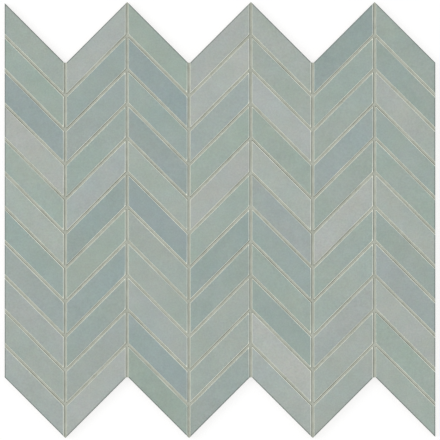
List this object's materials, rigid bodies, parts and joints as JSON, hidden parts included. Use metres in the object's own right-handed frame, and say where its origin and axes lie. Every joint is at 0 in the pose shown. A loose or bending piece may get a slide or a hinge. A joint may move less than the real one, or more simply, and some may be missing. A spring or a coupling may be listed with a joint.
{
  "type": "chevron mosaic tile sheet",
  "caption": "Wall tile sheet of slanted glazed bars in upright columns that lean right and left by turns, with filled sand-coloured joints, zigzag ends and a net on the back.",
  "frame": {"origin": "middle of the sheet's outline, on the plane that the net's lower threads lie in", "axes": "+Z out of the glazed face, +Y up the columns as the sheet hangs on a wall, +X to the right seen from the front"},
  "size_m": [0.3016, 0.3056, 0.007],
  "materials": {
    "glaze": "satin",
    "grout": "matte",
    "net": "matte"
  },
  "bodies": {
    "root": {"tiles_column_1": "glaze", "tiles_column_2": "glaze", "tiles_column_3": "glaze", "tiles_column_4": "glaze", "tiles_column_5": "glaze", "tiles_column_6": "glaze", "tiles_column_7": "glaze", "grout": "grout", "net_long_threads": "net", "net_cross_threads": "net"}
  },
  "joints": []
}
